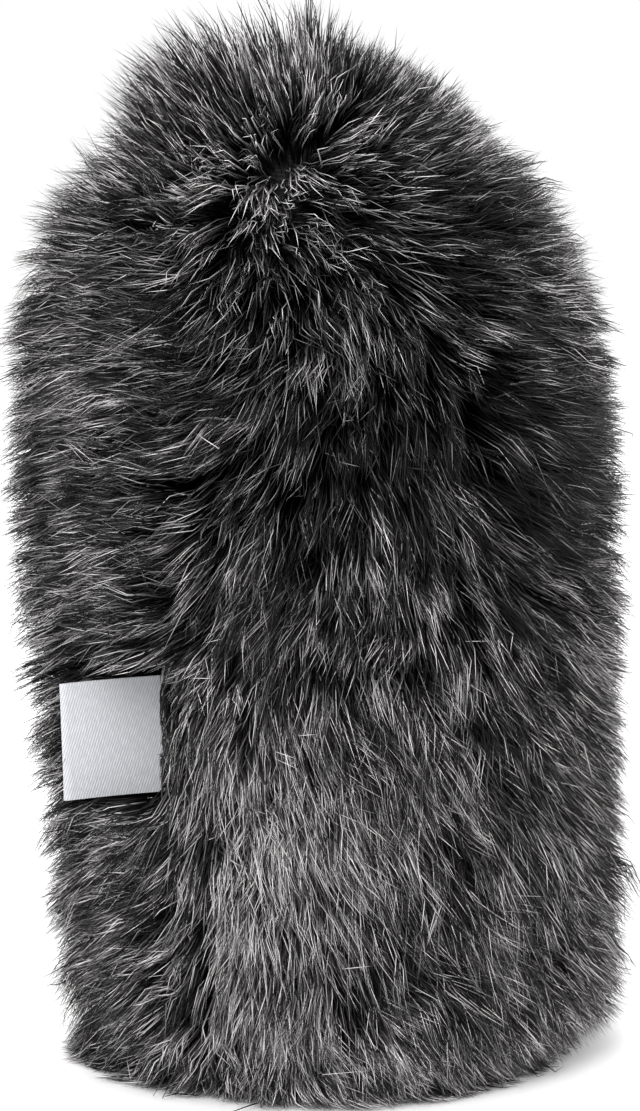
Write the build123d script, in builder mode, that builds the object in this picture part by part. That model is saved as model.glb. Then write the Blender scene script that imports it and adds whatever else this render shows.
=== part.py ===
from build123d import *
from math import cos, radians, sin
import os

# Slip-on furry windscreen for a short shotgun microphone.
# Millimetres. +Z runs up the microphone's axis to the nose of the windscreen, and the origin is
# the middle of the boot's underside. The side seams of the fur cover lie at +X and -X, and the
# front of the cover, which wears no seam, faces -Y. The sewn-in label stands out at -X.

os.makedirs("parts", exist_ok=True)

# --- Driving dimensions ---------------------------------------------------------------------

# Microphone
mic_grip_radius = 9.5  # a 19 mm microphone body, held by the boot's lips
mic_insertion_length = 180.0  # how far the microphone goes in, from the base plane

# Foam core
foam_radius = 32.0
dome_height = 46.0  # of the domed cap
nose_thickness = 12.0  # foam over the stop pad
stop_pad_thickness = 4.0
liner_wall = 4.0
bond_gap = 0.15  # glue line between a bore and what is bonded into it
washer_thickness = 4.0  # closed-cell washer under the foam tube
washer_inset = 0.4

# Moulded rubber boot
flange_overhang = 3.0  # beyond the foam
flange_thickness = 3.6
flange_rounding = 1.2
mouth_land = 7.0  # straight grip at the mouth
mouth_chamfer = 1.4
mouth_rim = 4.5  # flat ring round the mouth, on the underside
lip_count = 3
lip_pitch = 8.0
lip_reach = 1.7  # from the collar's inside to the microphone
lip_thickness = 1.4  # of each lip's land
lip_root_thickness = 3.6  # where a lip meets the collar
collar_wall = 4.2
collar_lead = 1.6  # collar above the last lip
outer_rim = 3.5  # flat ring round the flange's underside, which the windscreen stands on
dish_depth = 0.8  # shallow relief between the two rings

# Fur cover: the knitted backing lies on the foam, and the pile stands out from it
cover_gap = 0.3  # backing to foam
seam_clearance = 0.35  # between the label and the panel on each side of it
pile_ground = 20.0  # how far the pile stands out from the foam where it leaves the ground
pile_skirt = 26.5
pile_low = 29.5
pile_belly = 31.5
pile_chest = 30.5
pile_shoulder = 27.0
pile_crown = 17.0
pile_brow = 0.5
pile_nose = 26.5  # above the foam's top
skirt_height = 11.0  # above the ground
low_height = 42.0
chest_drop = 60.0  # below the foam's top
shoulder_drop = 28.0
crown_drop = 6.0
brow_rise = 15.0  # above the foam's top
ground_flare = 0.6  # outward run of the pile for each unit that it rises from the ground
valley_depth = 13.0  # the parting of the pile along each seam
valley_half_width = 11.5
valley_bulge = 2.8  # how far the pile's sides swell into the parting
valley_overrun = 8.0  # how far its cutter stands out of the pile and starts below the ground

# Seam stitches: short bars across the seam, in a channel under the backing's edge
stitch_radius = 0.45
stitch_length = 3.2
stitch_pitch = 6.5
stitch_clearance = 0.4
channel_depth = 1.5

# Hem: a woven tape that ties the cover's lower edge in under the foam
tape_thickness = 1.2
tape_width = 12.4
hem_stitch_count = 48
hem_stitch_length = 3.4
hem_stitch_overhang = 1.0  # past the tape's outer edge
hem_clearance = 0.4  # pile to flange, and the ends of the hem stitches to what lies round them
thread_clearance = 0.1  # above and below the hem stitches

# Label: a ribbon folded double and sewn into the -X seam, left blank
label_height = 25.0
label_length = 24.5
label_ply = 0.35
label_fold_gap = 0.1
label_centre_height = 70.5

# --- Sizes that follow ----------------------------------------------------------------------

mouth_height = mouth_land + mouth_chamfer
chamber_radius = mic_grip_radius + lip_reach
collar_radius = chamber_radius + collar_wall
collar_height = mouth_height + lip_count * lip_pitch + collar_lead
flange_radius = foam_radius + flange_overhang
dish_inner_radius = mic_grip_radius + mouth_rim
dish_outer_radius = flange_radius - outer_rim
tape_bottom = flange_thickness
washer_bottom = tape_bottom + tape_thickness
washer_radius = foam_radius - washer_inset
foam_bottom = washer_bottom + washer_thickness
pad_top = mic_insertion_length + stop_pad_thickness
foam_top = pad_top + nose_thickness
foam_shoulder = foam_top - dome_height  # where the straight tube meets the domed cap
liner_bore_radius = collar_radius - liner_wall
core_bore_radius = collar_radius + bond_gap
cover_radius = foam_radius + cover_gap
cover_height = dome_height + cover_gap
chest_height = foam_top - chest_drop
label_half_thickness = label_ply + label_fold_gap / 2
seam_gap = 2 * (label_half_thickness + seam_clearance)
stitch_seat_radius = foam_radius + stitch_radius + cover_gap / 2
stitch_seat_height = dome_height + stitch_radius + cover_gap / 2
channel_width = stitch_length + 2 * stitch_clearance
channel_radius = cover_radius + channel_depth
channel_height = cover_height + channel_depth
hem_stitch_height = washer_bottom + stitch_radius + thread_clearance
hem_stitch_inner = washer_radius + hem_clearance
tape_outer_radius = hem_stitch_inner + hem_stitch_length - hem_stitch_overhang
tape_inner_radius = tape_outer_radius - tape_width
rebate_radius = hem_stitch_inner + hem_stitch_length + hem_clearance
rebate_top = hem_stitch_height + stitch_radius + thread_clearance
rebate_bottom = tape_bottom - thread_clearance


def dome_curve(radius, height):
    """Draws the nose's quarter ellipse, from the shoulder at radius up to the axis."""
    points = [
        (radius * cos(radians(angle)), foam_shoulder + height * sin(radians(angle)))
        for angle in (0, 30, 60, 90)
    ]
    return Spline(*points, tangents=((0, 1), (-1, 0)), tangent_scalars=(1, 1))


def pile_curve():
    """Draws the outline of the pile, from the ground up to the nose on the axis."""
    return Spline(
        (foam_radius + pile_ground, 0),
        (foam_radius + pile_skirt, skirt_height),
        (foam_radius + pile_low, low_height),
        (foam_radius + pile_belly, (low_height + chest_height) / 2),
        (foam_radius + pile_chest, chest_height),
        (foam_radius + pile_shoulder, foam_top - shoulder_drop),
        (foam_radius + pile_crown, foam_top - crown_drop),
        (foam_radius + pile_brow, foam_top + brow_rise),
        (0, foam_top + pile_nose),
        tangents=((ground_flare, 1), (-1, 0)),
        tangent_scalars=(1, 1),
    )


# --- Rubber boot: flange, collar and the annular lips that grip the microphone ---------------

with BuildPart() as base_boot:
    with BuildSketch(Plane.XZ):
        with BuildLine():
            Polyline(
                (mic_grip_radius, 0),
                (dish_inner_radius, 0),
                (dish_inner_radius, dish_depth),
                (dish_outer_radius, dish_depth),
                (dish_outer_radius, 0),
                (flange_radius, 0),
                (flange_radius, flange_thickness),
                (collar_radius, flange_thickness),
                (collar_radius, collar_height),
                (chamber_radius, collar_height),
                (chamber_radius, mouth_height),
                (mic_grip_radius, mouth_height),
                close=True,
            )
        make_face()
    revolve(axis=Axis.Z)
    for lip in range(lip_count):
        lip_height = mouth_height + (lip + 1) * lip_pitch - lip_root_thickness / 2
        with BuildSketch(Plane.XZ):
            with BuildLine():
                Polyline(
                    (mic_grip_radius, lip_height - lip_thickness / 2),
                    (chamber_radius, lip_height - lip_root_thickness / 2),
                    (chamber_radius, lip_height + lip_root_thickness / 2),
                    (mic_grip_radius, lip_height + lip_thickness / 2),
                    close=True,
                )
            make_face()
        revolve(axis=Axis.Z)
    rim = base_boot.edges().filter_by(GeomType.CIRCLE).filter_by(
        lambda edge: abs(edge.radius - flange_radius) < 1e-6
    )
    fillet(rim, radius=flange_rounding)
    mouth = (
        base_boot.edges()
        .filter_by(GeomType.CIRCLE)
        .filter_by(lambda edge: abs(edge.radius - mic_grip_radius) < 1e-6)
        .sort_by(Axis.Z)[0]
    )
    chamfer(mouth, length=mouth_chamfer)
base_boot.part.label = "base_boot"
export_step(base_boot.part, "parts/base_boot.step")


# --- Hem tape and base washer, stacked between the flange and the foam tube -------------------

with BuildPart() as hem_tape:
    with BuildSketch(Plane.XY.offset(tape_bottom)):
        Circle(tape_outer_radius)
        Circle(tape_inner_radius, mode=Mode.SUBTRACT)
    extrude(amount=tape_thickness)
hem_tape.part.label = "hem_tape"
export_step(hem_tape.part, "parts/hem_tape.step")

with BuildPart() as base_washer:
    with BuildSketch(Plane.XY.offset(washer_bottom)):
        Circle(washer_radius)
        Circle(core_bore_radius, mode=Mode.SUBTRACT)
    extrude(amount=washer_thickness)
base_washer.part.label = "base_washer"
export_step(base_washer.part, "parts/base_washer.step")


# --- Foam core: bored tube, domed cap, finer liner and the pad the microphone stops against ---

with BuildPart() as foam_tube:
    with BuildSketch(Plane.XY.offset(foam_bottom)):
        Circle(foam_radius)
        Circle(core_bore_radius, mode=Mode.SUBTRACT)
    extrude(amount=foam_shoulder - foam_bottom)
foam_tube.part.label = "foam_tube"
export_step(foam_tube.part, "parts/foam_tube.step")

with BuildPart() as foam_nose_cap:
    with BuildSketch(Plane.XZ):
        with BuildLine():
            dome_curve(foam_radius, dome_height)
            Polyline(
                (0, foam_top),
                (0, pad_top),
                (core_bore_radius, pad_top),
                (core_bore_radius, foam_shoulder),
                (foam_radius, foam_shoulder),
            )
        make_face()
    revolve(axis=Axis.Z)
foam_nose_cap.part.label = "foam_nose_cap"
export_step(foam_nose_cap.part, "parts/foam_nose_cap.step")

with BuildPart() as mic_liner:
    with BuildSketch(Plane.XY.offset(collar_height)):
        Circle(collar_radius)
        Circle(liner_bore_radius, mode=Mode.SUBTRACT)
    extrude(amount=mic_insertion_length - collar_height)
mic_liner.part.label = "mic_liner"
export_step(mic_liner.part, "parts/mic_liner.step")

with BuildPart() as nose_stop_pad:
    with BuildSketch(Plane.XY.offset(mic_insertion_length)):
        Circle(collar_radius)
    extrude(amount=stop_pad_thickness)
nose_stop_pad.part.label = "nose_stop_pad"
export_step(nose_stop_pad.part, "parts/nose_stop_pad.step")


# --- Fur cover: two panels of knitted pile fabric, sewn together up both sides and over the nose

with BuildLine(Plane.XZ) as valley_path:
    Line(
        (foam_radius + pile_ground - ground_flare * valley_overrun, -valley_overrun),
        (foam_radius + pile_ground, 0),
    )
    pile_curve()

with BuildPart() as seam_valley:
    # The pile parts along the seam. A cusp-shaped cutter follows the pile's outline up one side.
    valley_start = valley_path.wire() ^ 0
    with BuildSketch(Plane(valley_start.position, x_dir=(0, 1, 0), z_dir=valley_path.wire() % 0)):
        with BuildLine():
            SagittaArc((0, valley_depth), (valley_half_width, 0), -valley_bulge)
            Polyline(
                (valley_half_width, 0),
                (valley_half_width, -valley_overrun),
                (-valley_half_width, -valley_overrun),
                (-valley_half_width, 0),
            )
            SagittaArc((-valley_half_width, 0), (0, valley_depth), -valley_bulge)
        make_face()
    sweep(path=valley_path.wire())
    mirror(about=Plane.YZ)

with BuildPart() as stitch_channel:
    with BuildSketch(Plane.XZ):
        with BuildLine():
            dome_curve(channel_radius, channel_height)
            Polyline(
                (0, foam_shoulder + channel_height),
                (0, foam_bottom),
                (channel_radius, foam_bottom),
                (channel_radius, foam_shoulder),
            )
        make_face()
        mirror(about=Plane.YZ)
    extrude(amount=channel_width / 2, both=True)


def fur_panel(side):
    """One half of the fur cover, on the -Y side for side -1 and on the +Y side for side 1."""
    with BuildPart() as panel:
        with BuildSketch(Plane.XZ):
            with BuildLine():
                pile_curve()
                Line((0, foam_top + pile_nose), (0, foam_top + cover_gap))
                dome_curve(cover_radius, cover_height)
                Polyline(
                    (cover_radius, foam_shoulder),
                    (cover_radius, rebate_top),
                    (rebate_radius, rebate_top),
                    (rebate_radius, rebate_bottom),
                    (flange_radius + hem_clearance, rebate_bottom),
                    (flange_radius + hem_clearance, 0),
                    (foam_radius + pile_ground, 0),
                )
            make_face()
        revolve(axis=Axis.Z)
        seam_face = Plane((0, side * seam_gap / 2, 0), x_dir=(1, 0, 0), z_dir=(0, side, 0))
        split(bisect_by=seam_face, keep=Keep.TOP)
        add(seam_valley.part, mode=Mode.SUBTRACT)
        add(stitch_channel.part, mode=Mode.SUBTRACT)
    return panel.part


fur_front_panel = fur_panel(-1)
fur_front_panel.label = "fur_front_panel"
export_step(fur_front_panel, "parts/fur_front_panel.step")

fur_back_panel = fur_panel(1)
fur_back_panel.label = "fur_back_panel"
export_step(fur_back_panel, "parts/fur_back_panel.step")


# --- Stitches: up one side, over the nose and down the other, and round the hem ---------------

with BuildLine(Plane.XZ) as stitch_line:
    Line((stitch_seat_radius, foam_bottom + stitch_pitch), (stitch_seat_radius, foam_shoulder))
    dome_curve(stitch_seat_radius, stitch_seat_height)
    mirror(about=Plane.YZ)

seam_path = stitch_line.wire()
stitch_count = round(seam_path.length / stitch_pitch)
stitch_places = [seam_path @ (index / stitch_count) for index in range(stitch_count + 1)]

with BuildPart() as seam_stitches:
    with Locations(*stitch_places):
        Cylinder(stitch_radius, stitch_length, rotation=(90, 0, 0))
seam_stitches.part.label = "seam_stitches"
export_step(seam_stitches.part, "parts/seam_stitches.step")

hem_stitch_middle = hem_stitch_inner + hem_stitch_length / 2
with BuildPart() as hem_stitches:
    with Locations((0, 0, hem_stitch_height)):
        with PolarLocations(hem_stitch_middle, hem_stitch_count):
            Cylinder(stitch_radius, hem_stitch_length, rotation=(0, 90, 0))
hem_stitches.part.label = "hem_stitches"
export_step(hem_stitches.part, "parts/hem_stitches.step")


# --- Label: a folded ribbon whose cut ends are caught in the seam -----------------------------

label_root = stitch_seat_radius + stitch_radius + cover_gap
label_fold_centre = label_root + label_length - label_half_thickness

with BuildPart() as label_tag:
    with BuildSketch(Plane.XY.offset(label_centre_height - label_height / 2)):
        with BuildLine():
            Line((-label_root, -label_half_thickness), (-label_fold_centre, -label_half_thickness))
            ThreePointArc(
                (-label_fold_centre, -label_half_thickness),
                (-label_fold_centre - label_half_thickness, 0),
                (-label_fold_centre, label_half_thickness),
            )
            Polyline(
                (-label_fold_centre, label_half_thickness),
                (-label_root, label_half_thickness),
                (-label_root, label_fold_gap / 2),
                (-label_fold_centre, label_fold_gap / 2),
                (-label_fold_centre, -label_fold_gap / 2),
                (-label_root, -label_fold_gap / 2),
                (-label_root, -label_half_thickness),
            )
        make_face()
    extrude(amount=label_height)
label_tag.part.label = "label_tag"
export_step(label_tag.part, "parts/label_tag.step")
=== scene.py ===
import math

import bpy
import numpy as np
from mathutils import Matrix, Vector, kdtree, noise


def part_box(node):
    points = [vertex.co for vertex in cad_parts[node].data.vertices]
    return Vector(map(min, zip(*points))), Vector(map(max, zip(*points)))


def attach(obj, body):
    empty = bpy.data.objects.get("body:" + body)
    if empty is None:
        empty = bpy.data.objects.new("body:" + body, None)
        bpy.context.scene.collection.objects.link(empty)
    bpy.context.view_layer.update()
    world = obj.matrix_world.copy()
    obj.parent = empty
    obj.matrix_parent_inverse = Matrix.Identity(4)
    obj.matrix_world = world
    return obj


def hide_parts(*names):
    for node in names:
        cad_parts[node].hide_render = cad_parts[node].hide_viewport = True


mm = 0.001
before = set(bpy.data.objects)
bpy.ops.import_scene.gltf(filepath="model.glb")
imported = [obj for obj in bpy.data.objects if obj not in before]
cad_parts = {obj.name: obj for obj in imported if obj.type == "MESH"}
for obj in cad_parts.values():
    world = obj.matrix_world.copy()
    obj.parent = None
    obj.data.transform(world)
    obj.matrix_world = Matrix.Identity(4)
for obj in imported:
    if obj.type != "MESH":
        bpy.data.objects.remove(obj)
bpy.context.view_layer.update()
bpy.ops.object.select_all(action="DESELECT")
scene = bpy.context.scene


def boxOf(node):
    # the node's lowest and highest corners in mm
    low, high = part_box(node)
    return np.array(low) / mm, np.array(high) / mm


foamHigh = boxOf("foam_tube")[1]
capHigh = boxOf("foam_nose_cap")[1]
labelLow, labelHigh = boxOf("label_tag")
foamRadius = foamHigh[0]
shoulderHeight = foamHigh[2]
domeHeight = capHigh[2] - shoulderHeight


def linearColour(hexText, alpha=1.0):
    # sRGB hex to the linear values that a shader takes
    parts = [int(hexText[i:i + 2], 16) / 255 for i in (1, 3, 5)]
    return [p / 12.92 if p <= 0.04045 else ((p + 0.055) / 1.055) ** 2.4 for p in parts] + [alpha]


def addNode(tree, kind, settings=None, links=None):
    # settings: the node's own properties in small letters, and input sockets by their names
    # links: an input socket's name or number, and the output socket that feeds it
    node = tree.nodes.new(kind)
    for name, value in (settings or {}).items():
        if name[0].islower():
            setattr(node, name, value)
        else:
            node.inputs[name].default_value = value
    for socket, source in (links or {}).items():
        tree.links.new(source, node.inputs[socket])
    return node


def newMaterial(name, settings):
    # settings: the shader's input sockets by their names
    material = bpy.data.materials.new(name)
    material.use_nodes = True
    tree = material.node_tree
    tree.nodes.clear()
    shader = addNode(tree, "ShaderNodeBsdfPrincipled", settings)
    addNode(tree, "ShaderNodeOutputMaterial", links={"Surface": shader.outputs[0]})
    return material, tree, shader


def setRamp(node, stops):
    # stops: (place, hex colour) from low to high
    ramp = node.color_ramp
    while len(ramp.elements) < len(stops):
        ramp.elements.new(0.5)
    for element, (place, colour) in zip(ramp.elements, stops):
        element.position = place
        element.color = linearColour(colour)
    return node


def objectCoordinates(tree, sizes):
    # object coordinates, counted in steps of so many mm along x, y and z
    where = addNode(tree, "ShaderNodeTexCoord")
    scale = tuple(1 / (size * mm) for size in sizes)
    mapping = addNode(tree, "ShaderNodeMapping", {"Scale": scale}, {"Vector": where.outputs["Object"]})
    return mapping.outputs[0]


def addBump(tree, shader, height, strength, depth):
    settings = {"Strength": strength, "Distance": depth * mm}
    bump = addNode(tree, "ShaderNodeBump", settings, {"Height": height})
    tree.links.new(bump.outputs[0], shader.inputs["Normal"])


def dress(piece, material):
    piece.data.materials.clear()
    piece.data.materials.append(material)


def activate(piece):
    bpy.ops.object.select_all(action="DESELECT")
    bpy.context.view_layer.objects.active = piece
    piece.select_set(True)


view = dict(
    turn=-12.0,         # from straight before the front
    lift=8.5,
    roll=-1.6,
    distance=900.0,
    height=106.5,       # of the point that it looks at
    aside=-1.0,
    tall=236.0,         # how much height it takes in at that distance
    sensor=24.0,
)


def setCamera():
    turn, lift = math.radians(view["turn"]), math.radians(view["lift"])
    back = Vector((math.sin(turn) * math.cos(lift), -math.cos(turn) * math.cos(lift), math.sin(lift)))
    right = Vector((math.cos(turn), math.sin(turn), 0))
    target = Vector((0, 0, view["height"])) + right * view["aside"]
    data = bpy.data.cameras.new("camera")
    data.sensor_fit = "VERTICAL"
    data.sensor_height = view["sensor"]
    data.lens = view["sensor"] * view["distance"] / view["tall"]
    data.clip_start, data.clip_end = 0.05, 20
    camera = bpy.data.objects.new("camera", data)
    scene.collection.objects.link(camera)
    roll = Matrix.Rotation(math.radians(view["roll"]), 3, "Z").to_quaternion()
    camera.rotation_euler = (back.to_track_quat("Z", "Y") @ roll).to_euler()
    camera.location = (target + back * view["distance"]) * mm
    scene.camera = camera
    print("camera set")


setCamera()


cover = dict(
    standOff=1.3,       # the knitted backing clears the foam and its seam stitches
    thickness=0.9,
    hem=6.2,            # the backing's lower edge
    seamGap=0.75,       # each panel stops this far from the seam
    rows=70,            # of points in a panel's mesh, from the hem to the nose
    columns=61,         # and from seam to seam
    merged=0.02,        # points this near to one another become one, at the nose
)
backingRadius = foamRadius + cover["standOff"] + cover["thickness"]
backingDome = domeHeight + cover["standOff"] + cover["thickness"]

# how far the pile reaches to the left and to the right, from the axis or, on the dome, from the shoulder's
# centre: (course up the outline from the shoulder, left, right)
pileOutline = [
    (-150, 61, 53), (-140, 64, 67), (-130, 66, 66), (-120, 66.5, 67.5), (-99, 66, 66.5),
    (-88, 67, 67), (-78, 68.5, 67), (-67, 70.3, 68), (-50, 70.5, 68), (-20, 70.5, 67.5),
    (0, 70.5, 66.3), (15, 69, 64.5), (27, 70.3, 63), (38, 70.3, 62.5), (51, 71, 61),
    (62, 87, 57.5), (75, 89, 58.5), (90, 83, 66), (97, 82, 81),
]
pileDome = 76.0         # how high the pile's dome stands over the shoulder
courseRadius = 62.0     # the outline's course over the dome is counted along an arc of this radius


def pileReach(points):
    # how far out each point stands, as a share of the pile's outline there
    x, y, z = points.T
    up = z - shoulderHeight
    flat = np.hypot(x, y)
    onDome = up > 0
    far = np.where(onDome, np.sqrt(flat ** 2 + up ** 2), flat)
    angle = np.degrees(np.arctan2(np.maximum(up, 0), np.maximum(flat, 1e-6)))
    course = np.where(onDome, angle * (courseRadius * math.pi / 180), up)
    stops, left, right = np.array(pileOutline, float).T
    side = 0.5 + 0.5 * x / np.maximum(far, 1e-6)
    limit = np.interp(course, stops, left) * (1 - side) + np.interp(course, stops, right) * side
    return far / limit


def backingPoint(course, turn):
    # points of the backing and their outward normals
    # course is mm up the backing from the hem, and turn is degrees from the front
    along = np.interp(course, meridian["course"], np.arange(len(meridian["course"])))
    low = np.clip(along.astype(int), 0, len(meridian["course"]) - 2)
    mix = (along - low)[:, None]
    ring = meridian["point"][low] * (1 - mix) + meridian["point"][low + 1] * mix
    tilt = meridian["normal"][low] * (1 - mix) + meridian["normal"][low + 1] * mix
    a = np.radians(turn)
    outward = np.stack([np.sin(a), -np.cos(a), np.zeros_like(a)], 1)
    up = np.array([0, 0, 1.0])
    return outward * ring[:, :1] + up * ring[:, 1:], outward * tilt[:, :1] + up * tilt[:, 1:]


def makeMeridian():
    # radius and height up the backing, from the hem over the shoulder to the nose
    rise = np.linspace(cover["hem"], shoulderHeight, 60)[:-1]
    angle = np.radians(np.linspace(0, 90, 120))
    point = np.concatenate([
        np.stack([np.full_like(rise, backingRadius), rise], 1),
        np.stack([backingRadius * np.cos(angle), shoulderHeight + backingDome * np.sin(angle)], 1),
    ])
    normal = np.concatenate([
        np.stack([np.ones_like(rise), np.zeros_like(rise)], 1),
        np.stack([backingDome * np.cos(angle), backingRadius * np.sin(angle)], 1),
    ])
    normal /= np.linalg.norm(normal, axis=1)[:, None]
    course = np.concatenate([[0], np.cumsum(np.linalg.norm(np.diff(point, axis=0), axis=1))])
    return dict(point=point, normal=normal, course=course)


meridian = makeMeridian()

# how each panel's pile is brushed, by height and by turn from the front:
# the slant of the stroke from straight down (+ towards the right), the angles at which the hair leaves the
# backing and ends (90 stands straight out), how much of the outline it reaches, and its shade from 0 dark to
# 1 light
frontComb = dict(
    turns=(-78, -56, -37, -20, -4, 13, 33, 60, 86),
    slant={
        216: (0, 0, 0, 0, 5, 10, 20, 30, 30),
        205: (0, 0, 8, 36, 60, 72, 78, 70, 55),
        197: (0, -5, 12, 34, 55, 64, 74, 66, 50),
        180: (-20, -25, 10, 38, 44, 54, 66, 42, 22),
        163: (-40, -98, -16, 14, 12, 16, 58, 44, 18),
        146: (-55, -108, -72, -46, -28, -38, 64, 72, 25),
        129: (-55, -108, -38, -12, 4, -2, 64, 38, 15),
        112: (-55, -110, -10, -22, -14, -20, 28, 25, 8),
        97: (-55, -112, 0, -16, -38, -11, 0, 8, 2),
        82: (0, -12, 12, 34, 2, -13, -8, 10, 0),
        61: (8, -10, 40, 48, 18, 14, 6, 6, 1),
        44: (-50, -57, 28, 18, 34, 4, -8, -18, 3),
        27: (-50, -57, 26, 8, 28, 70, -46, -14, 2),
        11: (-40, -12, 34, 32, 40, 28, 20, -2, -2),
    },
    root={
        216: (112, 100, 94, 92, 92, 92, 92, 92, 95),
        205: (122, 116, 98, 88, 76, 70, 74, 82, 92),
        197: (118, 106, 86, 76, 68, 68, 74, 86, 95),
        180: (112, 98, 62, 60, 62, 68, 79, 91, 97),
        163: (110, 80, 66, 65, 68, 74, 83, 95, 99),
        129: (110, 84, 70, 68, 71, 75, 82, 95, 99),
        97: (104, 84, 70, 68, 70, 74, 77, 87, 94),
        86: (44, 62, 68, 68, 70, 73, 75, 84, 91),
        51: (44, 62, 67, 67, 69, 70, 70, 76, 84),
        42: (90, 74, 66, 67, 68, 70, 70, 75, 81),
        27: (86, 72, 67, 68, 68, 70, 69, 73, 79),
        11: (60, 64, 67, 68, 68, 70, 69, 72, 78),
    },
    tip={
        216: (97, 88, 86, 86, 86, 84, 84, 84, 84),
        205: (98, 98, 76, 60, 40, 32, 40, 56, 70),
        197: (93, 84, 50, 36, 28, 30, 40, 58, 70),
        180: (84, 80, 28, 30, 34, 40, 52, 63, 73),
        163: (68, 54, 40, 38, 40, 46, 56, 69, 76),
        129: (60, 60, 48, 42, 44, 47, 55, 71, 76),
        97: (54, 58, 48, 42, 43, 46, 48, 59, 68),
        86: (12, 32, 38, 38, 39, 41, 43, 51, 60),
        51: (12, 32, 37, 37, 38, 38, 40, 44, 52),
        42: (52, 42, 36, 37, 37, 38, 39, 43, 50),
        27: (46, 40, 36, 37, 37, 38, 39, 42, 48),
        11: (25, 34, 35, 36, 37, 37, 38, 40, 46),
    },
    reach={
        214: (1.06, 1.08, 1.04, 1, 1, 1, 1, 1, 1),
        204: (1.02, 1.02, 1, 0.98, 0.97, 0.97, 0.97, 1, 1),
        190: (0.95, 0.95, 0.96, 0.98, 1, 1, 1, 1, 1),
        165: (0.94, 0.93, 0.92, 0.98, 1, 1, 1, 1, 1),
        98: (0.93, 0.92, 0.92, 0.98, 1, 1, 1, 1, 1),
        88: (0.72, 0.9, 0.95, 0.99, 1, 1, 1, 1, 1),
        52: (0.72, 0.9, 0.95, 0.99, 1, 1, 1, 1, 1),
        43: (0.92, 0.92, 0.92, 0.98, 1, 1, 1, 1, 1),
    },
    # shade: partly the pile's own greys and partly painted light and shade, darker on the right side and up
    # the front, lighter on the lower front, as the light falls there
    shade={
        210: (0.35, 0.45, 0.6, 0.6, 0.3, -0.02, 0.0, 0.15, 0.3),
        200: (0.3, 0.4, 0.65, 0.7, 0.4, 0.0, -0.15, 0.1, 0.3),
        184: (0.15, 0.25, 0.65, 0.5, 0.2, -0.1, -0.28, 0.0, 0.25),
        167: (0.14, -0.1, 0.28, 0.28, 0.02, 0.0, -0.05, 0.1, 0.25),
        150: (0.16, -0.12, 0.0, 0.03, 0.02, 0.0, -0.05, 0.08, 0.25),
        133: (0.16, -0.1, -0.02, 0.0, 0.0, -0.18, -0.4, -0.12, 0.22),
        116: (0.14, -0.04, 0.06, -0.02, -0.08, 0.08, -0.38, -0.12, 0.22),
        99: (0.15, 0.0, 0.1, 0.04, 0.16, 0.26, 0.06, 0.04, 0.24),
        80: (0.2, 0.46, 0.56, 0.22, 0.24, 0.08, 0.14, 0.22, 0.32),
        65: (0.2, 0.55, 0.72, 0.38, 0.28, 0.08, 0.06, 0.22, 0.32),
        48: (0.1, 0.1, 0.58, 0.7, 0.52, 0.28, 0.1, 0.16, 0.3),
        31: (0.12, 0.05, 0.34, 0.4, 0.2, 0.18, 0.04, 0.16, 0.36),
        14: (0.25, 0.25, 0.38, 0.42, 0.6, 0.3, 0.24, 0.25, 0.36),
    },
)
backComb = dict(
    turns=(98, 125, 150, 175, 200, 225, 248, 266),
    slant={
        205: (0, 10, 20, 10, -10, -10, 0, 15),
        165: (0, 8, 10, 5, -5, -8, 0, 25),
        85: (0, 6, 12, 5, -6, -8, 0, 20),
        11: (0, 4, 8, 10, -4, -10, 0, 0),
    },
    root={
        205: (105, 105, 100, 95, 95, 105, 120, 126),
        180: (98, 95, 88, 85, 85, 95, 124, 130),
        163: (96, 92, 84, 82, 82, 88, 112, 116),
        129: (96, 90, 82, 78, 80, 84, 114, 122),
        95: (92, 88, 80, 74, 76, 82, 114, 124),
        78: (92, 86, 78, 74, 74, 80, 104, 110),
        61: (88, 82, 76, 72, 72, 78, 100, 106),
        44: (82, 76, 72, 70, 70, 74, 84, 90),
        27: (80, 74, 70, 70, 68, 72, 76, 80),
        11: (76, 70, 66, 66, 64, 62, 55, 48),
    },
    tip={
        205: (78, 80, 78, 75, 75, 78, 88, 92),
        180: (74, 66, 55, 48, 48, 58, 78, 80),
        163: (70, 60, 48, 44, 44, 48, 64, 68),
        129: (68, 60, 46, 40, 40, 45, 60, 62),
        95: (63, 55, 43, 38, 38, 44, 58, 62),
        78: (58, 50, 40, 36, 36, 42, 56, 60),
        61: (53, 46, 38, 34, 34, 40, 54, 58),
        44: (48, 42, 36, 32, 32, 38, 50, 54),
        27: (44, 38, 32, 30, 30, 34, 42, 46),
        11: (40, 36, 32, 32, 30, 28, 22, 14),
    },
    reach={100: (1, 1, 1, 1, 1, 1, 1, 1)},
    shade={
        205: (0.3, 0.3, 0.3, 0.3, 0.3, 0.35, 0.35, 0.35),
        146: (0.25, 0.2, 0.15, 0.15, 0.2, 0.2, 0.2, 0.22),
        95: (0.3, 0.25, 0.25, 0.25, 0.25, 0.22, 0.22, 0.24),
        50: (0.35, 0.35, 0.4, 0.45, 0.4, 0.35, 0.32, 0.32),
        11: (0.35, 0.4, 0.45, 0.45, 0.45, 0.45, 0.4, 0.4),
    },
)


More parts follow.
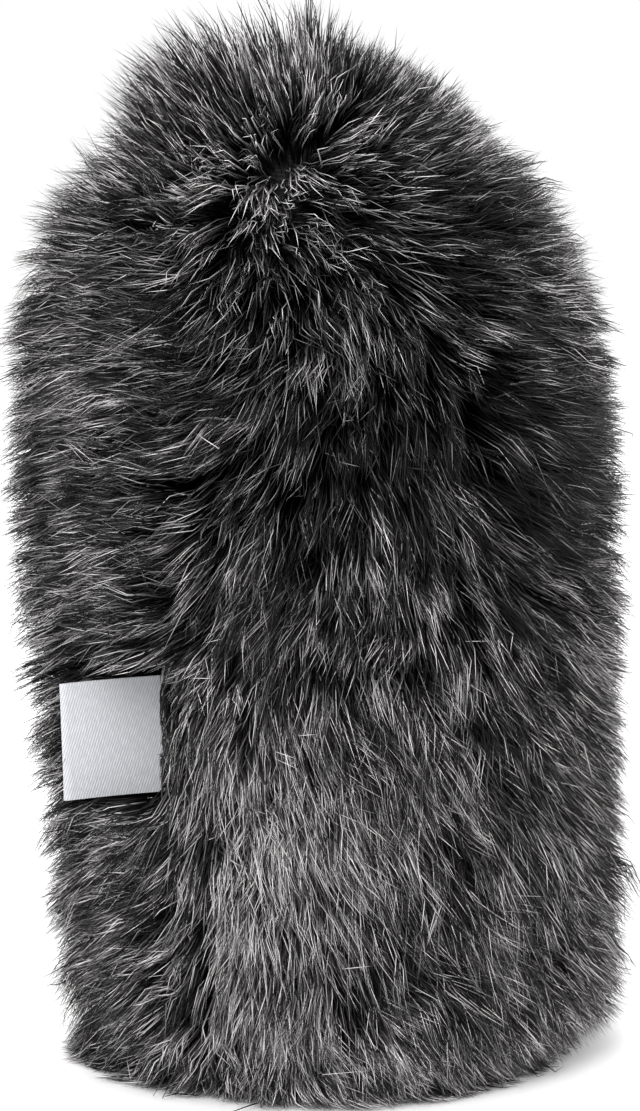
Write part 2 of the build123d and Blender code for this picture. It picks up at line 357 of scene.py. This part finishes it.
def combAt(points, comb, middle):
    # the direction along the pile, and the angles, reach and shade there, blended between the strokes about
    # each point; middle is the turn of the panel's middle
    turn = np.degrees(np.arctan2(points[:, 0], -points[:, 1]))
    turn = (turn - middle + 180) % 360 - 180 + middle
    every = np.arange(len(points))
    looked = []
    for key in ("slant", "root", "tip", "reach", "shade"):
        heights = sorted(comb[key])
        table = np.array([np.interp(turn, comb["turns"], comb[key][height]) for height in heights])
        at = np.interp(points[:, 2], heights, np.arange(len(heights)))
        low = at.astype(int)
        high = np.minimum(low + 1, len(heights) - 1)
        looked.append(table[low, every] * (1 - at + low) + table[high, every] * (at - low))
    slant, around = np.radians(looked[0]), np.radians(turn)
    # the slope of the dome there, short of level
    tilt = np.arcsin(np.clip((points[:, 2] - shoulderHeight) / pileDome, 0, 0.98))
    down = np.stack([np.sin(around) * np.sin(tilt), -np.cos(around) * np.sin(tilt), -np.cos(tilt)], 1)
    east = np.stack([np.cos(around), np.sin(around), 0 * around], 1)
    along = down * np.cos(slant)[:, None] + east * np.sin(slant)[:, None]
    return along, np.stack(looked[1:], 1)


label = dict(
    ply=0.2,
    gap=0.12,           # between the two plies
    gape=0.4,           # how much further they part at the fold, as a share
    bow=1.1,            # how far the ribbon curves towards the front along its length
    belly=0.35,         # how far its middle stays behind, as a share of that
    ripple=0.12,
    droop=0.4,          # how far its folded end hangs below its root
    curl=0.5,           # how far its corners turn back
    columns=60,
    rows=26,
    # the front panel's hairs are parted before it, along the sight line from the camera
    overlap=3.5,        # how far they may lie over its inner end
    under=0.5,          # how far the parting goes below it
    over=0.8,           # and above it
    # for each mm before it, the parting moves out at its inner end, and up at its lower and upper edge
    sight=(0.2, 0.1, 0.15),
    furthest=30.0,      # and how far before it that goes on
    trimmed=(0.5, 0.6, 0.5),    # what is left, time after time, of a hair that would still lie over it
    behind=1.1,         # the back panel's hairs stay this far behind the seam there
    beside=(1.0, 1.5),  # and still do so this far above and below it, and beyond its fold
)

locks = dict(
    count=9500,
    depth=20.0,         # from the backing to where a stroke is first looked up
    waves=(24, 9),      # sizes of two smooth waves that run over the pile
    second=0.6,         # how strong the finer wave is
    # how much a lock is changed by the waves, and by chance
    root=(7, 5),
    tip=(12, 9),
    aside=(0.36, 0.24),     # shares of the stroke
    reach=(0.97, 0.035, 0.025),     # shares of the outline, the mean first
    shade=(0.25, 0.20),
)

pile = dict(
    hairs=150000,
    bands=5,            # pieces for each panel, from the hem to the nose
    seed=7,
    usual=32.0,         # a hair's usual length, in which its painted shade from the tip down is counted
    shortest=18.0,
    longest=46.0,
    sunk=0.4,           # how deep the roots sit in the backing
    radius=0.095,       # a fibre is finer; drawn this coarse so that it shows at all
    finer=0.7,          # the finest and the coarsest hair, as shares of that
    coarser=1.2,
    joints=(0.55, 0.79),        # where along a hair its two rings stand
    rings=(2.0, 1.15),          # how thick they are, in radii
    # how much the hairs of a lock differ
    aside=0.17,         # a share of the stroke
    root=4,
    tip=8,
    reach=0.01,         # a share of the outline
    pull=(0.25, 0.48, 0.64),    # how far the rings and the tip are drawn to the middle of the lock
    pulled=(0.85, 0.25, 0.2, 1.1),  # what a hair takes of that: the mean, its spread, the least and the most
    frizz=(0.2, 0.42, 0.7),     # how far they stray by themselves
    crimp=(0.0, 0.7, -0.4),     # how far a whole lock's rings and tip swing to one side and the other
    calm=((172, 190), (1.0, 0.5)),  # heights, and how much of pull, frizz and crimp the hairs there have
    uneven=((168, 186, 206), (0.11, 0.3, 0.7)),     # heights, and how far inside the outline tips may end
    few=1.4,            # the higher, the fewer end that far inside
    most=1.0,           # no hair stands further out than this share of the outline
    lowest=(0.5, 0.4),  # nor lower than the first, with up to the second more by chance
    strays=0.02,        # the share of hairs that leave their lock
    wilder=2.5,         # how many times wilder these are
    further=0.05,       # and how far past the others' reach they may go, a share of the outline
    # a hair's shade, from its lock's: the light hairs are partly the fibre's own mixed greys and partly
    # painted highlight along the fibres
    dark=(0.6, 0.03),   # the darkest hair has the first share of it, less the second
    light=(0.88, 0.4),  # the lightest has the first and the second share of it more
    pale=2.3,           # the higher, the fewer hairs are light
)


def unit(v):
    return v / np.maximum(np.linalg.norm(v, axis=1), 1e-9)[:, None]


def bend(t, rootAngle, tipAngle):
    # how far a hair has gone out from the backing and along the comb at share t of its length
    a0, a1 = np.radians(rootAngle), np.radians(tipAngle)
    turn = np.where(np.abs(a1 - a0) < 0.02, 0.02, a1 - a0)
    at = a0 + turn * t
    return (np.cos(a0) - np.cos(at)) / turn, (np.sin(at) - np.sin(a0)) / turn


def scatterRoots(count, side, rng):
    # roots spread evenly over one panel's backing; side is -1 for the front and 1 for the back
    middle = (meridian["course"][1:] + meridian["course"][:-1]) / 2
    wide = np.interp(middle, meridian["course"], meridian["point"][:, 0])
    share = np.cumsum(wide * np.diff(meridian["course"]))
    share = np.concatenate([[0], share / share[-1]])
    course = np.interp(rng.random(count), share, meridian["course"])
    turn = (rng.random(count) - 0.5) * 180
    if side > 0:
        turn = 180 - turn
    root, normal = backingPoint(course, turn)
    root[:, 1] = side * np.maximum(side * root[:, 1], cover["seamGap"] + 0.3)
    return root, normal


def roughly(points, size, seed):
    # smooth noise at the points, three values each
    shift = Vector((seed * 17.3, seed * 5.1, seed * 9.7))
    return np.array([noise.noise_vector(Vector(p) / size + shift) for p in points])


def keepIn(points):
    # draws what stands too far out back towards the axis, or towards the shoulder's centre
    share = np.minimum(1, pile["most"] / np.maximum(pileReach(points), 1e-6))[:, None]
    centre = np.zeros_like(points)
    centre[:, 2] = np.minimum(points[:, 2], shoulderHeight)
    return centre + (points - centre) * share


def behindLabel(points):
    # the back panel's hairs stay behind the label
    x, z = points[:, 0], points[:, 2]
    around, beyond = label["beside"]
    beside = ((z > labelLow[2] - around) & (z < labelHigh[2] + around)
              & (x < labelHigh[0]) & (x > labelLow[0] - beyond))
    points[:, 1] = np.where(beside, np.maximum(points[:, 1], label["behind"]), points[:, 1])
    return points


def coversLabel(rings, edge):
    # which of the front panel's hairs would lie over the label; edge, from 0 to 1, roughens the parting
    covers = np.zeros(len(rings), bool)
    aside, below, above = label["sight"]
    for start in range(3):
        for t in (0.25, 0.5, 0.75, 1.0):
            x, y, z = (rings[:, start] * (1 - t) + rings[:, start + 1] * t).T
            before = np.clip(-y, 0, label["furthest"])
            covers |= ((x < labelHigh[0] - label["overlap"] * edge - aside * before)
                       & (z > labelLow[2] - label["under"] + below * before)
                       & (z < labelHigh[2] + label["over"] + above * before))
    return covers


def trimAroundLabel(rings, length, edge):
    # each time, what still lies over the label is cut shorter
    for left in label["trimmed"]:
        share = np.where(coversLabel(rings, edge), left, 1.0)
        rings = rings[:, :1] + (rings - rings[:, :1]) * share[:, None, None]
        length = length * share
    return rings, length


def brushLocks(side, comb, seed, rng):
    # one panel's locks: roots, the directions they are brushed in, and their angles, reach and shade
    count = locks["count"] // 2
    middle = 0 if side < 0 else 180
    root, normal = scatterRoots(count, side, rng)
    along, rest = combAt(root + normal * locks["depth"], comb, middle)
    # the stroke is looked up once more, where the lock comes to lie
    out, on = bend(0.8, rest[:, 0], rest[:, 1])
    lies = root + (normal * out[:, None] + unit(along) * on[:, None]) * pile["usual"]
    along, rest = combAt(lies, comb, middle)
    coarse, fine = locks["waves"]
    wave = roughly(lies, coarse, seed) + locks["second"] * roughly(lies, fine, seed + 1)
    for column, (byWave, byChance) in enumerate((locks["root"], locks["tip"])):
        rest[:, column] += byWave * wave[:, 1] + byChance * rng.standard_normal(count)
    along = unit(along)
    byWave, byChance = locks["aside"]
    along += np.cross(normal, along) * (byWave * wave[:, :1] + byChance * rng.standard_normal((count, 1)))
    mean, byWave, byChance = locks["reach"]
    rest[:, 2] = rest[:, 2] * (mean + byWave * wave[:, 2] + byChance * rng.standard_normal(count))
    byWave, byChance = locks["shade"]
    rest[:, 3] = rest[:, 3] + byChance * rng.standard_normal(count) + byWave * wave[:, 2]
    return root, along, rest


def lengthsTo(reach, path):
    # the length at which each hair's tip comes to its reach, found by halving
    low = np.full(len(reach), pile["shortest"])
    high = np.full(len(reach), pile["longest"])
    for halving in range(12):
        tried = (low + high) / 2
        inside = pileReach(path(1.0, tried)) < reach
        low = np.where(inside, tried, low)
        high = np.where(inside, high, tried)
    return (low + high) / 2


def growPanel(side, comb, count, seed):
    # all hairs of one panel: where each one's root, two rings and tip stand, its shade and its length
    rng = np.random.default_rng(seed)
    lockRoot, along, rest = brushLocks(side, comb, seed, rng)
    lockCount = len(lockRoot)
    nearest = kdtree.KDTree(lockCount)
    for i, p in enumerate(lockRoot):
        nearest.insert(Vector(p), i)
    nearest.balance()
    root, normal = scatterRoots(count, side, rng)
    lock = np.array([nearest.find(Vector(p))[1] for p in root])

    own = rng.standard_normal((count, 6))
    edge = rng.random(count)
    stray = rng.random(count) < pile["strays"]
    loose = np.where(stray, pile["wilder"], 1.0)
    lean = unit(along[lock] + np.cross(normal, along[lock]) * (pile["aside"] * own[:, :1] * loose[:, None]))
    lean = unit(lean - normal * (lean * normal).sum(1)[:, None])
    rootAngle = rest[lock, 0] + pile["root"] * own[:, 1] * loose
    tipAngle = rest[lock, 1] + pile["tip"] * own[:, 2] * loose
    uneven = np.interp(root[:, 2], *pile["uneven"])
    reach = rest[lock, 2] * (1 - uneven * rng.random(count) ** pile["few"] + pile["reach"] * own[:, 3])
    reach = np.where(stray, reach + pile["further"] * rng.random(count), reach)

    def path(t, length):
        out, on = bend(t, rootAngle, tipAngle)
        return root + normal * (out * length)[:, None] + lean * (on * length)[:, None]

    length = lengthsTo(reach, path)

    # hairs of a lock draw together towards their tips
    lockTotal = np.maximum(np.bincount(lock, minlength=lockCount)[:, None], 1)
    rings = [root - normal * pile["sunk"]]
    swing = rng.standard_normal((lockCount, 3))
    calm = np.interp(root[:, 2], *pile["calm"])[:, None]
    mean, spread, least, most = pile["pulled"]
    pulled = np.clip(mean + spread * own[:, 4], least, most)
    for t, pull, frizz, crimp in zip((*pile["joints"], 1.0), pile["pull"], pile["frizz"], pile["crimp"]):
        p = path(t, length)
        centre = np.stack([np.bincount(lock, p[:, k], lockCount) for k in range(3)], 1) / lockTotal
        draw = np.where(stray, 0.0, pull * calm[:, 0] * pulled)
        p = p + (centre[lock] - p) * draw[:, None]
        p = p + calm * (swing[lock] * crimp + rng.standard_normal((count, 3)) * frizz * loose[:, None])
        rings.append(behindLabel(keepIn(p)) if side > 0 else keepIn(p))
    rings = np.stack(rings, 1)
    floor, more = pile["lowest"]
    rings[:, :, 2] = np.maximum(rings[:, :, 2], floor + more * rng.random(count)[:, None])

    lockShade = rest[lock, 3]
    (darkShare, less), (light, lightShare) = pile["dark"], pile["light"]
    # light hairs: partly the fibre's own greys, partly painted highlight along the fibres
    paleAndPaintedHighlight = (light + lightShare * lockShade) * rng.random(count) ** pile["pale"]
    shade = darkShare * lockShade + paleAndPaintedHighlight - less
    if side < 0:
        rings, length = trimAroundLabel(rings, length, edge)
    return rings, np.clip(shade, 0, 1), length


def hairMesh(name, rings, shade, length, radius):
    # each hair is a closed sliver: a point at the root, two rings of three, and a point at the tip
    count = len(rings)
    along = unit(rings[:, 3] - rings[:, 1])
    # two directions across the hair, from a third one that few hairs lie along
    side = unit(np.cross(along, np.array([0.31, 0.17, 0.93]) + 0 * along))
    other = np.cross(along, side)
    points = np.empty((count, 8, 3))
    points[:, 0] = rings[:, 0]
    points[:, 7] = rings[:, 3]
    for ring, thick in enumerate(pile["rings"], 1):
        for k in range(3):
            a = 2 * math.pi * k / 3
            points[:, 1 + (ring - 1) * 3 + k] = rings[:, ring] + (
                side * math.cos(a) + other * math.sin(a)) * (radius * thick)[:, None]
    faces = []
    for k in range(3):
        n = (k + 1) % 3
        faces += [(0, 1 + n, 1 + k), (1 + k, 1 + n, 4 + n, 4 + k), (4 + k, 4 + n, 7)]
    sizes = np.array([len(f) for f in faces])
    corner = np.concatenate([np.array(f) for f in faces])
    loops = (np.arange(count)[:, None] * 8 + corner[None]).ravel()
    starts = np.concatenate([[0], np.cumsum(np.tile(sizes, count))[:-1]])
    mesh = bpy.data.meshes.new(name)
    mesh.vertices.add(count * 8)
    mesh.vertices.foreach_set("co", (points * mm).astype(np.float32).ravel())
    mesh.loops.add(len(loops))
    mesh.loops.foreach_set("vertex_index", loops.astype(np.int32))
    mesh.polygons.add(len(starts))
    mesh.polygons.foreach_set("loop_start", starts.astype(np.int32))
    # u is the hair's shade, a little spread so that its faces have some width there
    # v is 1 at the tip and falls by 1 for each usual length down the hair; the painted shade down the pile
    # is read from it
    place = np.array([0, *[pile["joints"][0]] * 3, *[pile["joints"][1]] * 3, 1.0])
    aside = np.array([0, -1, 0, 1, -1, 0, 1, 0]) * 0.004
    uv = np.empty((count, len(corner), 2))
    uv[:, :, 0] = (0.02 + 0.96 * shade)[:, None] + aside[corner][None]
    down = (1 - place[corner])[None] * (length / pile["usual"])[:, None]
    uv[:, :, 1] = np.maximum(1 - down, 0)
    layer = mesh.uv_layers.new(name="OFBake")
    layer.data.foreach_set("uv", uv.astype(np.float32).ravel())
    mesh.update()
    mesh.shade_smooth()
    piece = bpy.data.objects.new(name, mesh)
    scene.collection.objects.link(piece)
    return piece


def modacrylicPile():
    # crimped modacrylic fibre, spun-dyed in mixed greys and a little glossy; each hair is painted darker
    # from its tip down to near black deep in the pile, as painted shade, so that light shows only towards
    # the tips; the light end of the tone is partly the fibre's own greys and partly painted highlight along
    # the fibres
    material, tree, shader = newMaterial("modacrylicPile", {"Roughness": 0.45, "IOR": 1.5,
                                                            "Specular IOR Level": 0.15})
    where = addNode(tree, "ShaderNodeUVMap", {"uv_map": "OFBake"})
    split = addNode(tree, "ShaderNodeSeparateXYZ", links={"Vector": where.outputs[0]})
    tone = setRamp(addNode(tree, "ShaderNodeValToRGB", links={"Fac": split.outputs["X"]}),
                   [(0.0, "#080808"), (0.25, "#1f1e1f"), (0.5, "#545253"), (0.78, "#a8a6a7"),
                    (1.0, "#efecec")])
    # painted shade: darker from the tip down into the pile, near black deep in it
    paintedPileShade = setRamp(addNode(tree, "ShaderNodeValToRGB", links={"Fac": split.outputs["Y"]}),
                   [(0.42, "#080808"), (0.66, "#565455"), (0.88, "#ffffff")])
    mix = addNode(tree, "ShaderNodeMix", {"data_type": "RGBA", "blend_type": "MULTIPLY"},
                  {6: tone.outputs[0], 7: paintedPileShade.outputs[0]})
    mix.inputs[0].default_value = 1.0
    tree.links.new(mix.outputs[2], shader.inputs["Base Color"])
    return material


def growFur():
    noise.seed_set(pile["seed"])    # without this the clock seeds Blender's noise, and each run differs
    fur = modacrylicPile()
    pieces = {}
    for panel, side, comb, seed in (
        ("front", -1, frontComb, pile["seed"]), ("back", 1, backComb, pile["seed"] + 40),
    ):
        rings, shade, length = growPanel(side, comb, pile["hairs"] // 2, seed)
        order = np.argsort(rings[:, 3, 2])
        rng = np.random.default_rng(seed + 5)
        radius = pile["radius"] * rng.uniform(pile["finer"], pile["coarser"], len(rings))
        pieces[panel] = []
        for band, chosen in enumerate(np.array_split(order, pile["bands"]), 1):
            piece = hairMesh(f"pile_{panel}_{band}", rings[chosen], shade[chosen], length[chosen],
                             radius[chosen])
            dress(piece, fur)
            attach(piece, "root")
            pieces[panel].append(piece)
        print(panel, "pile grown")
    return pieces


def warpKnit():
    # the pile's ground fabric, warp-knitted in dark polyester: wales 1.2 mm and courses 0.9 mm apart
    material, tree, shader = newMaterial("warpKnit", {"Roughness": 0.85})
    steps = objectCoordinates(tree, (1.1, 1.1, 0.9))
    wales = addNode(tree, "ShaderNodeTexWave",
                    {"bands_direction": "DIAGONAL", "Scale": 0.35, "Distortion": 1.5}, {"Vector": steps})
    courses = addNode(tree, "ShaderNodeTexWave",
                      {"bands_direction": "Z", "Scale": 0.32, "Distortion": 0.8}, {"Vector": steps})
    loops = addNode(tree, "ShaderNodeMath", {"operation": "MULTIPLY"},
                    {0: wales.outputs["Fac"], 1: courses.outputs["Fac"]})
    tone = setRamp(addNode(tree, "ShaderNodeValToRGB", links={"Fac": loops.outputs[0]}),
                   [(0.0, "#0b0b0c"), (0.6, "#1d1d1e"), (1.0, "#2b2b2c")])
    tree.links.new(tone.outputs[0], shader.inputs["Base Color"])
    addBump(tree, shader, loops.outputs[0], 0.7, 0.35)
    return material


def makeBacking(panel, side, knit):
    # the knitted ground that the pile is rooted in, one half-shell a panel
    rows = np.linspace(0, meridian["course"][-1], cover["rows"])
    turns = np.linspace(-90, 90, cover["columns"])
    if side > 0:
        turns = 180 - turns
    course, turn = (grid.ravel() for grid in np.meshgrid(rows, turns, indexing="ij"))
    points = backingPoint(course, turn)[0]
    points[:, 1] = side * np.maximum(side * points[:, 1], cover["seamGap"])
    wide = cover["columns"]
    faces = []
    for i in range(cover["rows"] - 1):
        for j in range(wide - 1):
            a = i * wide + j
            faces.append((a, a + 1, a + wide + 1, a + wide))
    if side > 0:
        faces = [face[::-1] for face in faces]
    mesh = bpy.data.meshes.new(f"backing_{panel}")
    mesh.from_pydata([tuple(p * mm) for p in points], [], faces)
    piece = bpy.data.objects.new(mesh.name, mesh)
    scene.collection.objects.link(piece)
    activate(piece)
    bpy.ops.object.mode_set(mode="EDIT")
    bpy.ops.mesh.select_all(action="SELECT")
    bpy.ops.mesh.remove_doubles(threshold=cover["merged"] * mm)
    bpy.ops.object.mode_set(mode="OBJECT")
    wall = piece.modifiers.new("wall", "SOLIDIFY")
    wall.thickness = cover["thickness"] * mm
    wall.offset = -1
    bpy.ops.object.modifier_apply(modifier=wall.name)
    bpy.ops.object.shade_smooth_by_angle(angle=math.radians(40))
    dress(piece, knit)
    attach(piece, "root")
    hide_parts(f"fur_{panel}_panel")


def satinRibbon():
    # woven-edge polyester satin, bare: pale grey, with a fine diagonal twill that glints thread by thread
    material, tree, shader = newMaterial("satinRibbon", {"Roughness": 0.38, "Sheen Weight": 0.25})
    where = addNode(tree, "ShaderNodeUVMap", {"uv_map": "OFBake"})
    size = (2 * (labelHigh[0] - labelLow[0]), labelHigh[2] - labelLow[2])
    # threads lie 0.3 mm apart; the twill is drawn every 0.55 mm so that it shows: a line each 0.58 mm along
    # the ribbon and each 1.6 mm across it
    mapping = addNode(tree, "ShaderNodeMapping", {"Scale": (size[0] / 0.58, size[1] / 1.6, 1)},
                      {"Vector": where.outputs[0]})
    twill = addNode(tree, "ShaderNodeTexWave",
                    {"bands_direction": "DIAGONAL", "Scale": 0.628, "Distortion": 0.6, "Detail": 1.0},
                    {"Vector": mapping.outputs[0]})
    floats = addNode(tree, "ShaderNodeTexNoise", {"Scale": 0.9, "Detail": 2.0},
                     {"Vector": mapping.outputs[0]})
    weave = addNode(tree, "ShaderNodeMath", {"operation": "MULTIPLY"},
                    {0: twill.outputs["Fac"], 1: floats.outputs["Fac"]})
    tone = setRamp(addNode(tree, "ShaderNodeValToRGB", links={"Fac": weave.outputs[0]}),
                   [(0.0, "#a9abb0"), (0.35, "#c3c5ca"), (0.75, "#dcdee2")])
    tree.links.new(tone.outputs[0], shader.inputs["Base Color"])
    addBump(tree, shader, weave.outputs[0], 0.6, 0.12)
    return material


def foldRibbon():
    # points along a ribbon that is folded once on itself, its cut ends in the seam, with their places on the
    # flat ribbon, and the ribbon's length
    length = labelHigh[0] - labelLow[0]
    loop = label["gap"] / 2 + label["ply"] / 2
    straight = length - loop
    run = 2 * straight + math.pi * loop
    points, places = [], []
    for i in range(label["columns"] + 1):
        s = run * i / label["columns"]
        if s < straight:
            x, y = s, -loop
        elif s > straight + math.pi * loop:
            x, y = run - s, loop
        else:
            a = (s - straight) / loop
            x, y = straight + loop * math.sin(a), -loop * math.cos(a)
        share = x / length
        for j in range(label["rows"] + 1):
            up = j / label["rows"]
            bow = label["bow"] * (share ** 2 - label["belly"] * math.sin(math.pi * share))
            corner = label["curl"] * share ** 3 * (2 * up - 1) ** 4
            ripple = label["ripple"] * math.sin(5 * up + 4 * share) * share
            drop = label["droop"] * share ** 1.5
            points.append((labelHigh[0] - x, y * (1 + label["gape"] * share) - bow + corner + ripple,
                           labelLow[2] + up * (labelHigh[2] - labelLow[2]) - drop))
            places.append((i / label["columns"], up))
    return points, places, run


def makeLabel():
    points, places, run = foldRibbon()
    high = label["rows"] + 1
    faces = [(a, a + high, a + high + 1, a + 1)
             for i in range(label["columns"]) for a in range(i * high, i * high + label["rows"])]
    mesh = bpy.data.meshes.new("ribbon_label")
    mesh.from_pydata([tuple(c * mm for c in p) for p in points], [], faces)
    layer = mesh.uv_layers.new(name="OFBake")
    for polygon in mesh.polygons:
        for loopIndex in polygon.loop_indices:
            layer.data[loopIndex].uv = places[mesh.loops[loopIndex].vertex_index]
    piece = bpy.data.objects.new(mesh.name, mesh)
    scene.collection.objects.link(piece)
    activate(piece)
    wall = piece.modifiers.new("wall", "SOLIDIFY")
    wall.thickness = label["ply"] * mm
    wall.offset = 0
    bpy.ops.object.modifier_apply(modifier=wall.name)
    bpy.ops.object.mode_set(mode="EDIT")
    bpy.ops.mesh.select_all(action="SELECT")
    bpy.ops.mesh.normals_make_consistent(inside=False)
    bpy.ops.object.mode_set(mode="OBJECT")
    bpy.ops.object.shade_smooth_by_angle(angle=math.radians(40))
    dress(piece, satinRibbon())
    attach(piece, "root")
    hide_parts("label_tag")
    print("label", round(run, 1), "mm of ribbon")


def mouldedRubber():
    # EPDM, compression-moulded in a spark-eroded tool: a fine matt grain, with a faint grey bloom in patches
    material, tree, shader = newMaterial("mouldedRubber", {"Roughness": 0.62, "IOR": 1.52})
    grain = addNode(tree, "ShaderNodeTexNoise", {"Scale": 1.0, "Detail": 3.0},
                    {"Vector": objectCoordinates(tree, (0.45, 0.45, 0.45))})
    bloom = addNode(tree, "ShaderNodeTexNoise", {"Scale": 1.0, "Detail": 4.0},
                    {"Vector": objectCoordinates(tree, (14, 14, 14))})
    tone = setRamp(addNode(tree, "ShaderNodeValToRGB", links={"Fac": bloom.outputs["Fac"]}),
                   [(0.35, "#151516"), (0.6, "#1e1e1f"), (0.75, "#2a2a2b")])
    tree.links.new(tone.outputs[0], shader.inputs["Base Color"])
    addBump(tree, shader, grain.outputs["Fac"], 0.35, 0.08)
    return material


def cellularFoam(name, pore, dark, light, depth):
    # open or closed cells, a pore's width apart: the struts are painted light as where they catch it, and
    # the cells between them are painted near black as shade
    material, tree, shader = newMaterial(name, {"Roughness": 0.9})
    cells = addNode(tree, "ShaderNodeTexVoronoi", {"feature": "DISTANCE_TO_EDGE", "Scale": 1.0},
                    {"Vector": objectCoordinates(tree, (pore, pore, pore))})
    blotch = addNode(tree, "ShaderNodeTexNoise", {"Scale": 1.0, "Detail": 3.0},
                     {"Vector": objectCoordinates(tree, (9, 9, 9))})
    # painted light on the struts and painted shade in the cells between them
    tone = setRamp(addNode(tree, "ShaderNodeValToRGB", links={"Fac": cells.outputs["Distance"]}),
                   [(0.04, light), (0.16, dark), (0.5, "#050506")])
    age = setRamp(addNode(tree, "ShaderNodeValToRGB", links={"Fac": blotch.outputs["Fac"]}),
                  [(0.3, "#b8b8b8"), (0.7, "#ffffff")])
    mix = addNode(tree, "ShaderNodeMix", {"data_type": "RGBA", "blend_type": "MULTIPLY"},
                  {6: tone.outputs[0], 7: age.outputs[0]})
    mix.inputs[0].default_value = 1.0
    tree.links.new(mix.outputs[2], shader.inputs["Base Color"])
    walls = addNode(tree, "ShaderNodeMath", {"operation": "SUBTRACT"}, {1: cells.outputs["Distance"]})
    walls.inputs[0].default_value = 1.0
    addBump(tree, shader, walls.outputs[0], 0.8, depth)
    return material


def bondedThread():
    # two-ply bonded polyester thread: the lay of its plies shows as a slanting rope pattern
    material, tree, shader = newMaterial("bondedThread", {"Roughness": 0.5})
    lay = addNode(tree, "ShaderNodeTexWave",
                  {"bands_direction": "DIAGONAL", "Scale": 0.32, "Distortion": 0.3},
                  {"Vector": objectCoordinates(tree, (0.7, 0.7, 0.7))})
    tone = setRamp(addNode(tree, "ShaderNodeValToRGB", links={"Fac": lay.outputs["Fac"]}),
                   [(0.0, "#101011"), (0.7, "#2c2c2d"), (1.0, "#3a3a3b")])
    tree.links.new(tone.outputs[0], shader.inputs["Base Color"])
    addBump(tree, shader, lay.outputs["Fac"], 0.8, 0.12)
    return material


def grosgrainTape():
    # woven polypropylene tape: slanting ribs 1.6 mm apart, and threads every 0.6 mm up its edge
    material, tree, shader = newMaterial("grosgrainTape", {"Roughness": 0.7})
    steps = objectCoordinates(tree, (1, 1, 1))
    threads = addNode(tree, "ShaderNodeTexWave", {"bands_direction": "Z", "Scale": 0.5}, {"Vector": steps})
    ribs = addNode(tree, "ShaderNodeTexWave", {"bands_direction": "DIAGONAL", "Scale": 0.27},
                   {"Vector": steps})
    weave = addNode(tree, "ShaderNodeMath", {"operation": "MULTIPLY"},
                    {0: threads.outputs["Fac"], 1: ribs.outputs["Fac"]})
    tone = setRamp(addNode(tree, "ShaderNodeValToRGB", links={"Fac": weave.outputs[0]}),
                   [(0.0, "#0d0d0e"), (0.5, "#1c1c1d"), (1.0, "#2d2d2e")])
    tree.links.new(tone.outputs[0], shader.inputs["Base Color"])
    addBump(tree, shader, weave.outputs[0], 0.7, 0.2)
    return material


def dressSolids():
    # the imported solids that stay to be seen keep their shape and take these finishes
    finishes = {
        "base_boot": mouldedRubber(),
        "foam_tube": cellularFoam("openCellFoam", 1.3, "#161617", "#3c3c3e", 0.5),
        "mic_liner": cellularFoam("finePoredFoam", 0.5, "#121213", "#2e2e30", 0.2),
        "base_washer": cellularFoam("closedCellFoam", 0.35, "#1a1a1b", "#232324", 0.05),
        "hem_tape": grosgrainTape(),
        "seam_stitches": bondedThread(),
    }
    finishes["foam_nose_cap"] = finishes["foam_tube"]
    finishes["nose_stop_pad"] = finishes["base_washer"]
    finishes["hem_stitches"] = finishes["seam_stitches"]
    for node, material in finishes.items():
        dress(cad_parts[node], material)
    print("solids dressed")


strands = growFur()
knit = warpKnit()
for panel, side in (("front", -1), ("back", 1)):
    makeBacking(panel, side, knit)
makeLabel()
dressSolids()


studio = dict(
    floor=60,           # metres across
    sunk=0.0002,        # metres that it lies under the boot
    paper="#fbfbfb",
    sky=1.05,           # strength of the white all round
    # each lamp's place and width in metres, and its power in watts
    key=((-0.5, -1.1, 0.9), 0.8, 18),
    fill=((0.9, -0.8, 0.5), 0.9, 8),
    rim=((0.1, 1.0, 1.0), 0.8, 10),
    aim=(0, 0, 0.1),
)


def setStage():
    bpy.ops.mesh.primitive_plane_add(size=studio["floor"], location=(0, 0, -studio["sunk"]))
    floor = bpy.context.object
    floor.name = "floor"
    paper = {"Base Color": linearColour(studio["paper"]), "Roughness": 0.7}
    dress(floor, newMaterial("paleFloor", paper)[0])
    world = bpy.data.worlds.new("studio")
    scene.world = world
    world.use_nodes = True
    background = world.node_tree.nodes["Background"]
    background.inputs[0].default_value = linearColour("#ffffff")
    background.inputs[1].default_value = studio["sky"]
    for name in ("key", "fill", "rim"):
        place, size, power = studio[name]
        light = bpy.data.lights.new(name, "AREA")
        light.size = size
        light.energy = power
        lamp = bpy.data.objects.new(name, light)
        scene.collection.objects.link(lamp)
        lamp.location = place
        lamp.rotation_euler = (Vector(place) - Vector(studio["aim"])).to_track_quat("Z", "Y").to_euler()
    scene.view_settings.view_transform = "Standard"
    print("stage set")


setStage()
